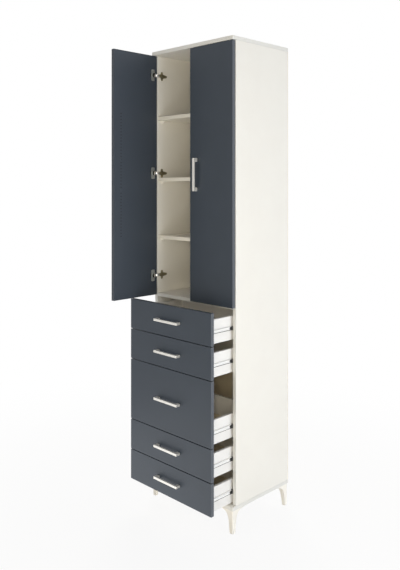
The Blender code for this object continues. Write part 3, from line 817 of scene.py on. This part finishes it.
def foot(node, toward):
    """Section points at each path point: outer + (inner - outer)·w, between the lower edge and the top."""
    low, high = corners_of(node)
    corner, top = np.where(np.array(toward) > 0, low[:2], high[:2]), high[2]
    curve = wing_curve(high[0] - low[0], top)
    outer, inner, lower = foot_path(curve)
    wall = np.linalg.norm(inner - outer, axis=1)[:, None]
    tall = (top - lower)[:, None]
    edge = np.minimum(FOOT_EDGE, EDGE_LIMIT * tall)
    short, long = (edge * part for part in quarter_turn(EDGE_STEPS))
    w = np.concatenate((long, wall - short, wall - long, short), axis=1) / wall
    rise = np.concatenate((short, long, tall - short, tall - long), axis=1)
    plan = corner + (outer[:, None] + (inner - outer)[:, None] * w[:, :, None]) * toward
    points = np.concatenate((plan, (lower[:, None] + rise)[:, :, None]), axis=2)
    wings = points.reshape(-1, 3), capped_grid(*rise.shape)
    post = leg(corner, toward, curve, top)
    made = piece(f"{node}_bracket", "cabinet", "ivory_plastic", ivory, wings, post)
    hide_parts(node)


for depth_name, toward_y in (("front", 1), ("rear", -1)):
    for side_name, toward_x in (("left", 1), ("right", -1)):
        foot(f"{depth_name}_{side_name}_foot", (toward_x, toward_y))
print("4 bracket feet")

# %% [markdown]
# ## Shelves
# Each shelf is a loose board that lies on four small wedges pushed into the sides. A cube with a Bevel would
# do for the board, but not for a wedge, so both are outlines with a depth: a rectangle in plan for the board,
# and a wedge seen from the front for each support.

# %% Shelves and supports
BOARD, BOARD_CORNER, BOARD_EDGE = 0.016, 0.001, 0.0008
SHELF_END_PLAY = 0.0002
SUPPORT_SIZE, SUPPORT_TIP, SUPPORT_LIP, SUPPORT_WIDTH = 0.012, 0.002, 0.003, 0.010
SUPPORT_CORNER, SUPPORT_EDGE, SUPPORT_FROM_EDGE = 0.0007, 0.0006, 0.020
POSITIONS = ("lower", "middle", "upper")


def shelf(node):
    """The board's outline lies in plan, and a support's in (inward, height), with its width as depth."""
    low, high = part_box(node)
    under = high.z - BOARD
    corners = rectangle(low.x + SHELF_END_PLAY, high.x - SHELF_END_PLAY, low.y, high.y)
    outline = rounded_corners(corners, BOARD_CORNER)
    board = thick_outline(outline, BOARD, BOARD_EDGE, (0, 0, under), (X, Y, Z))
    made = piece(f"{node}_board", "cabinet", "cream_melamine", shelf_cream, board)
    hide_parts(node)

    deep, out = -SUPPORT_SIZE, SUPPORT_SIZE
    wedge = ((0, 0), (0, deep), (SUPPORT_TIP, deep), (out, -SUPPORT_LIP), (out, 0))
    outline = rounded_corners(wedge, SUPPORT_CORNER)
    supports = [
        thick_outline(outline, SUPPORT_WIDTH, SUPPORT_EDGE, (wall, depth, under), (inward, Z, Y))
        for wall, inward in ((low.x, X), (high.x, -X))
        for depth in (low.y + SUPPORT_FROM_EDGE, high.y - SUPPORT_FROM_EDGE - SUPPORT_WIDTH)
    ]
    piece(f"{node}_supports", "cabinet", "ivory_plastic", ivory, *supports)


for position in POSITIONS:
    shelf(f"{position}_shelf")
print("3 shelves on 12 supports")

# %% [markdown]
# ## Concealed hinges
# The cup is a pressed bowl in a round bore of the door, under a flange with two screw ears, and a gap in its
# wall lets the arm through. Both could be cut from cylinders with Booleans. Polar grids are cleaner, because
# all that varies round a cup is how far out and how deep its sheet lies. The bowl is a profile that runs up
# its wall, in under a collar and back down outside. The flange has a round opening, and its outline is the
# larger of a narrow ring round that opening and a tall rounded rectangle for the ears, set back from the
# door's edge. In the gap the wall is pressed down to the level of the bowl's floor.

# %% Hinge cups
CUP_RADIUS, CUP_INNER, CUP_BOTTOM, CUP_FLOOR = 0.0172, 0.0158, -0.0115, -0.0108
CUP_FILLET, FILLET_STEPS, CUP_SIDES = 0.0025, 6, 120
GAP_ANGLE = math.radians(26)
OPENING_RADIUS, OPENING_SHIFT, COLLAR = 0.0102, 0.0042, 0.0008
FLANGE_SHEET, FLANGE_LOW, FLANGE_EDGE, RING_WIDTH = 0.0012, 0.0001, 0.0004, 0.0032
BEAD_WIDTH, BEAD_DROP = 0.0012, 0.0008
EAR_BACK, EAR_FRONT, EAR_HEIGHT, EAR_POWER = 0.0128, 0.0082, 0.0260, 7
EAR_SCREW, EAR_SCREW_HEAD = 0.0212, (0.0034, 0.0011)
AXIS_FROM_CUP, AXIS_BELOW_FLANGE = 0.0140, 0.0083
PIN_RADIUS, PIN_HALF = 0.00095, 0.0083


def opening(angle):
    """A circle of radius R moved by d toward the hinge edge has its rim at d·cos a + √(R² - d²·sin² a)."""
    root = np.sqrt(OPENING_RADIUS**2 - (OPENING_SHIFT * np.sin(angle)) ** 2)
    return OPENING_SHIFT * np.cos(angle) + root


def cup_bowl(origin, axes):
    """Row by row: floor, fillet, wall, in under the collar to the opening, back over it, outer wall and
    underside. Angle 0 points to the door's hinge edge, and within the gap angle there is no collar and every
    row above the underside is pressed down to the floor."""
    angle = np.linspace(-np.pi, np.pi, CUP_SIDES, endpoint=False)
    in_gap = abs(angle) < GAP_ANGLE
    rim = np.where(in_gap, CUP_INNER, opening(angle))
    drawn_in, raised = (CUP_FILLET * part for part in quarter_turn(FILLET_STEPS))
    radius = (0, *(CUP_INNER - drawn_in), CUP_INNER, rim, rim, CUP_RADIUS, CUP_RADIUS, 0)
    height = (CUP_FLOOR, *(CUP_FLOOR + raised), -COLLAR, -COLLAR, 0, 0, CUP_BOTTOM, CUP_BOTTOM)
    radius = np.stack([np.broadcast_to(row, angle.shape) for row in radius])
    height = np.array(height)[:, None]
    height = np.where(in_gap, np.minimum(height, CUP_FLOOR), height)
    return polar_shell(angle, radius, height, origin, axes)


def cup_flange(origin, axes):
    """A flat ring with ears, open at the gap: it runs over the angles outside the gap, and its section is a
    loop from the opening over a bead and the face to the outline and back underneath. The outline is the
    larger of the ring and 1 / ((|cos a|/w)ⁿ + (|sin a|/h)ⁿ)^(1/n), with h half the ears' height and w their
    reach on that side."""
    angle = np.linspace(GAP_ANGLE, 2 * np.pi - GAP_ANGLE, CUP_SIDES)[:, None]
    hole = opening(angle)
    reach = np.where(np.cos(angle) < 0, EAR_BACK, EAR_FRONT)
    across, along = abs(np.cos(angle)) / reach, abs(np.sin(angle)) / EAR_HEIGHT
    ears = (across**EAR_POWER + along**EAR_POWER) ** (-1 / EAR_POWER)
    outline = np.maximum(hole + RING_WIDTH, ears)
    short, long = (FLANGE_EDGE * part for part in quarter_turn(EDGE_STEPS))
    bead = hole + BEAD_WIDTH + BEAD_DROP * np.array((0, 1, 2))
    bead_height = FLANGE_SHEET - BEAD_DROP * np.array((0, 0.5, 1))
    radius = np.concatenate((hole, hole + long, bead, outline - short, outline), axis=1)
    height = (FLANGE_LOW, *(FLANGE_SHEET - short), *bead_height, *(bead_height[-1] - long), FLANGE_LOW)
    points, _ = polar_shell(angle, radius, np.array(height), origin, axes)
    return points, capped_grid(*radius.shape)


def cup(side, position, toward_edge, outward):
    """A cup, its pin and its two ear screws. toward_edge and outward are directions of the door at rest."""
    node, body = f"{side}_{position}_hinge_cup", f"{side}_door"
    low, high = corners_of(node)
    middle = (low + high) / 2
    face = max(low @ outward, high @ outward) - FLANGE_SHEET
    centre = middle + outward * (face - middle @ outward)
    axes = (toward_edge, Z, outward)
    pin_end = centre + toward_edge * AXIS_FROM_CUP - outward * AXIS_BELOW_FLANGE - Z * PIN_HALF
    profile = ((0, 0), (PIN_RADIUS, 0), (PIN_RADIUS, 2 * PIN_HALF), (0, 2 * PIN_HALF))
    pin = turned(profile, pin_end, (toward_edge, -outward, Z))
    made = piece(f"{node}_flange", body, "satin_nickel", cup_nickel, cup_flange(centre, axes))
    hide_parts(node)
    # The bowl wears painted shade.
    piece(f"{node}_bowl", body, None, bowl_painted_shade, cup_bowl(centre, axes))
    piece(f"{node}_pin", body, "satin_nickel", zinc, pin)
    ear = centre + outward * (FLANGE_SHEET - BEAD_DROP) - toward_edge * (EAR_BACK - EAR_FRONT) / 2
    screws = [screw_head(*EAR_SCREW_HEAD, ear + Z * EAR_SCREW * end, axes) for end in (-1, 1)]
    piece(f"{node}_screws", body, "satin_nickel", cup_nickel, *screws)


cup_nickel = metal_finish("cup_nickel", (170, 174, 173), (186, 190, 189), SATIN, ALONG_Z)
# The bowl's dark colour is painted shade for the deep hollow of the cup.
bowl_painted_shade = metal_finish("cup_bowl", (58, 57, 54), (70, 69, 65), SILKY, ALONG_Z)
for position in POSITIONS:
    cup("left", position, Y, X)
    cup("right", position, X, Y)
print(2 * len(POSITIONS), "hinge cups")

# %% [markdown]
# The arm reaches from the pin in the cup to a cross-shaped plate on the cabinet's side. The neck is a bright
# strip in a wide round bend, the arm is an arched channel, and the plate is a cross with round ends. They are
# bent from sheet, which could be modelled as a strip with Solidify. But seen from its own side each is a
# single outline, so an outline with a depth is enough. The knuckle round the pin is a turned ring.

# %% Hinge arms
KNUCKLE_RADIUS, KNUCKLE_EDGE, PIN_HOLE = 0.0022, 0.0003, 0.00125
WALL_FROM_AXIS, PLATE_SHEET, PLATE_EDGE = 0.0083, 0.002, 0.0005
WING_START, WING_END, WING_HALF = 0.030, 0.042, 0.020
PLATE_END, PLATE_HALF, PLATE_TAIL = 0.066, 0.0085, 0.0045
PLATE_CORNERS = (0.0055, 0.0055, 0.002, 0.004)
ARM_START, ARM_END, ARM_TOP = 0.016, 0.063, 0.0148
ARM_MOUTH, ARM_HALF, ARM_TAIL = 0.0060, 0.0075, 0.0035
ARM_CORNER, ARM_EDGE = 0.0024, 0.0016
NECK_CLEARANCE, NECK_LAP, NECK_INNER, NECK_HALF = 0.0004, 0.001, 0.0118, 0.005
NECK_START, NECK_END = PIN_HOLE + NECK_CLEARANCE, ARM_START + NECK_LAP
NECK_BEND, NECK_INNER_BEND, NECK_BEND_STEPS = 0.009, 0.0045, 10
NECK_FRONT, NECK_BACK, NECK_CORNER, NECK_EDGE = -0.0019, 0.0, 0.0005, 0.0004
WING_SCREW, WING_SCREW_HEAD = 0.0140, (0.0034, 0.0012)
TOP_SCREWS, TOP_SCREW_HEAD = (0.024, 0.053), (0.0028, 0.0009)


def mirrored(half):
    """An outline from its lower half and that half's mirror image at height 0."""
    return *half, *((x, -y) for x, y in reversed(half))


def arm(side, position, inward):
    """Plate and arm are outlines in (from the pin to the back, up), the neck in (inward, to the back)."""
    node = f"{side}_{position}_hinge_arm"
    low, high = corners_of(node)
    pin_x = (low[0] + KNUCKLE_RADIUS) if inward[0] > 0 else (high[0] - KNUCKLE_RADIUS)
    pin = np.array((pin_x, low[1] + KNUCKLE_RADIUS, (low[2] + high[2]) / 2))
    seat, bed = pin + inward * WALL_FROM_AXIS, pin + inward * (WALL_FROM_AXIS + PLATE_SHEET)
    top = pin + inward * ARM_TOP
    axes = (Y, Z, inward)

    wing = ((WING_START, -WING_HALF), (WING_END, -WING_HALF))
    cross = mirrored((*wing, (WING_END, -PLATE_HALF), (PLATE_END, -PLATE_TAIL)))
    outline = rounded_corners(cross, (*PLATE_CORNERS, *reversed(PLATE_CORNERS)))
    plate = thick_outline(outline, PLATE_SHEET, PLATE_EDGE, seat, axes)
    middle = ((WING_START, -ARM_HALF), (WING_END, -ARM_HALF))
    taper = mirrored(((ARM_START, -ARM_MOUTH), *middle, (ARM_END, -ARM_TAIL)))
    arch = ARM_TOP - WALL_FROM_AXIS - PLATE_SHEET
    channel = thick_outline(rounded_corners(taper, ARM_CORNER), arch, ARM_EDGE, bed, axes)
    # Plate, arm and their screws wear nickel with a painted reflection of the dim inside.
    made = piece(f"{node}_body", "cabinet", "satin_nickel", arm_nickel_painted_reflection, plate, channel)
    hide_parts(node)

    bend = (
        (NECK_START, NECK_FRONT), (ARM_TOP, NECK_FRONT), (ARM_TOP, NECK_END),
        (NECK_INNER, NECK_END), (NECK_INNER, NECK_BACK), (NECK_START, NECK_BACK),
    )
    radii = (NECK_CORNER, NECK_BEND, NECK_CORNER, NECK_CORNER, NECK_INNER_BEND, NECK_CORNER)
    outline = rounded_corners(bend, radii, NECK_BEND_STEPS)
    foot_of_neck, tall = pin - Z * NECK_HALF, 2 * NECK_HALF
    neck = thick_outline(outline, tall, NECK_EDGE, foot_of_neck, (inward, Y, Z))
    rim, edge = KNUCKLE_RADIUS - KNUCKLE_EDGE, KNUCKLE_EDGE
    outside = ((rim, 0), (KNUCKLE_RADIUS, edge), (KNUCKLE_RADIUS, tall - edge), (rim, tall))
    knuckle = turned(((PIN_HOLE, 0), *outside, (PIN_HOLE, tall), (PIN_HOLE, 0)), foot_of_neck, (X, Y, Z))
    piece(f"{node}_neck", "cabinet", "satin_nickel", neck_nickel, neck, knuckle)

    wing = bed + Y * (WING_START + WING_END) / 2
    screws = [screw_head(*WING_SCREW_HEAD, wing + Z * WING_SCREW * end, axes) for end in (-1, 1)]
    screws += [screw_head(*TOP_SCREW_HEAD, top + Y * depth, axes) for depth in TOP_SCREWS]
    piece(f"{node}_screws", "cabinet", "satin_nickel", arm_nickel_painted_reflection, *screws)


neck_nickel = metal_finish("neck_nickel", (222, 221, 219), (234, 233, 231), (0.42, 0.52), ALONG_Z)
for position in POSITIONS:
    arm("left", position, X)
    arm("right", position, -X)
print(2 * len(POSITIONS), "hinge arms")

# %% [markdown]
# ## Drawer boxes and runners
# A box is two grooved sides and a back of white board, and the thin bottom slides in the grooves. Each side
# carries the moving half of a runner: a pale strip with a shallow channel, over a black strip along its lower
# edge, with a black block half way along. The black strip is painted shadow under the pale strip, and the
# block is painted shade for the dark of the rail's mouth. Cubes would do but for the grooves and the channel.
# So each is drawn as the outline of its end, as a board or a strip looks where it is sawn off, and its length
# is the depth.

# %% Drawer boxes
BOX_OUTER, BOX_INNER, BOX_BOARD = 0.220, 0.208, 0.012
BOX_EDGE, BACK_EDGE = 0.0005, 0.0003
BOX_CORNERS = (0.0008, 0.0008, 0.0012, 0.0012, 0.0005, 0.0006, 0.0006, 0.0005)
GROOVE_LOW, GROOVE_HIGH, GROOVE_DEPTH = 0.0077, 0.0113, 0.006
SLIDE_HALF, SLIDE_FACE, SLIDE_EDGE, SLIDE_FROM_END = 0.007, 0.0082, 0.0003, 0.002
SLIDE_CORNERS = (0.0004, 0.0005, 0.0006, 0.0005, 0.0005, 0.0006, 0.0012, 0.0004)
CHANNEL_LOW, CHANNEL_HIGH, CHANNEL_SLOPE, CHANNEL_DEPTH = -0.0015, 0.0043, 0.0007, 0.0016
SHADOW_RACE_HEIGHT, SHADOW_RACE_SET_BACK, SHADOW_RACE_CORNER = 0.0026, 0.0012, 0.0006
SHADE_BLOCK_LENGTH, SHADE_BLOCK_PLACE, SHADE_BLOCK_RISE = 0.030, 0.110, 0.0001
SHADE_BLOCK_CORNER, SHADE_BLOCK_EDGE = 0.0008, 0.0005
carcass_x = sum(corner.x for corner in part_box("top_panel")) / 2


def grooved(near, far, tall):
    """A board's outline in (thickness, height), with the bottom's groove in its near face."""
    deep = near + GROOVE_DEPTH
    groove = ((near, GROOVE_HIGH), (deep, GROOVE_HIGH), (deep, GROOVE_LOW), (near, GROOVE_LOW))
    return rounded_corners((*rectangle(near, far, 0, tall), *groove), BOX_CORNERS)


def on_both_sides(outline, length, edge, front, middle):
    """An outline in (outward, height) along the outer faces of both sides, from front on."""
    centre = np.array((carcass_x, front, middle))
    return [
        thick_outline(outline, length, edge, centre + toward * BOX_OUTER, (toward, Z, Y)) for toward in (X, -X)
    ]


def drawer_box(number):
    """The side boards' outline lies in (x, height) and runs along y, and the back's in (y, height) along x."""
    node, body = f"drawer_{number}_box", f"drawer_{number}"
    low, high = corners_of(node)
    length, tall = high[1] - low[1], high[2] - low[2]
    start = (carcass_x, low[1], low[2])
    outline = grooved(BOX_INNER, BOX_OUTER, tall)
    sides = [thick_outline(outline, length, BOX_EDGE, start, (toward, Z, Y)) for toward in (X, -X)]
    start = (carcass_x - BOX_INNER, high[1] - BOX_BOARD, low[2])
    back = thick_outline(grooved(0, BOX_BOARD, tall), 2 * BOX_INNER, BACK_EDGE, start, (Y, Z, X))
    made = piece(f"{node}_boards", body, "white_box_board", box_white, *sides, back)
    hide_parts(node)

    middle, front = (low[2] + high[2]) / 2, low[1] + SLIDE_FROM_END
    run = length - 2 * SLIDE_FROM_END
    face, dip = SLIDE_FACE, SLIDE_FACE - CHANNEL_DEPTH
    shadow_race_top = SHADOW_RACE_HEIGHT - SLIDE_HALF
    strip = (
        (0, shadow_race_top), (face, shadow_race_top), (face, CHANNEL_LOW), (dip, CHANNEL_LOW + CHANNEL_SLOPE),
        (dip, CHANNEL_HIGH - CHANNEL_SLOPE), (face, CHANNEL_HIGH), (face, SLIDE_HALF), (0, SLIDE_HALF),
    )
    slides = on_both_sides(rounded_corners(strip, SLIDE_CORNERS), run, SLIDE_EDGE, front, middle)
    piece(f"{node}_slides", body, "white_box_board", runner_white, *slides)

    strip = rectangle(0, face - SHADOW_RACE_SET_BACK, -SLIDE_HALF, shadow_race_top)
    painted_shade_races = on_both_sides(rounded_corners(strip, SHADOW_RACE_CORNER), run, SLIDE_EDGE, front, middle)
    block = rounded_corners(rectangle(dip, face + SHADE_BLOCK_RISE, -SLIDE_HALF, SLIDE_HALF), SHADE_BLOCK_CORNER)
    front = low[1] + SHADE_BLOCK_PLACE
    painted_shade_bearings = on_both_sides(block, SHADE_BLOCK_LENGTH, SHADE_BLOCK_EDGE, front, middle)
    # Painted shade: the black strip is the shadow under the pale strip, and the block is the dark of the
    # rail's mouth.
    piece(f"{node}_races", body, None, black_plastic_and_painted_shade, *painted_shade_races, *painted_shade_bearings)


for number in DRAWERS:
    drawer_box(number)
print(len(DRAWERS), "drawer boxes with", 2 * len(DRAWERS), "slides")

# %% [markdown]
# The fixed half of a runner is a rolled steel channel on the cabinet's side, closed at its mouth by a black
# plastic stop, whose black is partly the plastic's own and partly painted shade of the rail's mouth. Solidify
# on a bent strip would give a channel too, but the outline of its end can round each corner as the rolled
# steel has it. The stop is a short piece of the same outline.

# %% Rails and their stops
RAIL_SHEET, RAIL_EDGE = 0.0012, 0.0003
RAIL_CORNERS = (0.0012, 0.0005, 0.0005, 0.0004)
STOP_START, STOP_LENGTH, STOP_EDGE = -0.0055, 0.0053, 0.0004


def rail(number, side, inward):
    """A channel outline in (inward, height), as long as the rail, and the same in plastic as its stop."""
    node = f"drawer_{number}_{side}_rail"
    low, high = corners_of(node)
    half, width, sheet = (high[2] - low[2]) / 2, high[0] - low[0], RAIL_SHEET
    corners = mirrored(((0, -half), (width, -half), (width, sheet - half), (sheet, sheet - half)))
    outline = rounded_corners(corners, (*RAIL_CORNERS, *reversed(RAIL_CORNERS)))
    wall = low[0] if inward[0] > 0 else high[0]
    start = np.array((wall, low[1], (low[2] + high[2]) / 2))
    channel = thick_outline(outline, high[1] - low[1], RAIL_EDGE, start, (inward, Z, Y))
    made = piece(f"{node}_channel", "cabinet", "zinc_steel", zinc, channel)
    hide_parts(node)
    stop = thick_outline(outline, STOP_LENGTH, STOP_EDGE, start + Y * STOP_START, (inward, Z, Y))
    # The stop's black is partly its own and partly painted shade in the rail's mouth.
    piece(f"{node}_stop", "cabinet", None, black_plastic_and_painted_shade, stop)


for number in DRAWERS:
    rail(number, "left", X)
    rail(number, "right", -X)
print(2 * len(DRAWERS), "rails with black stops")
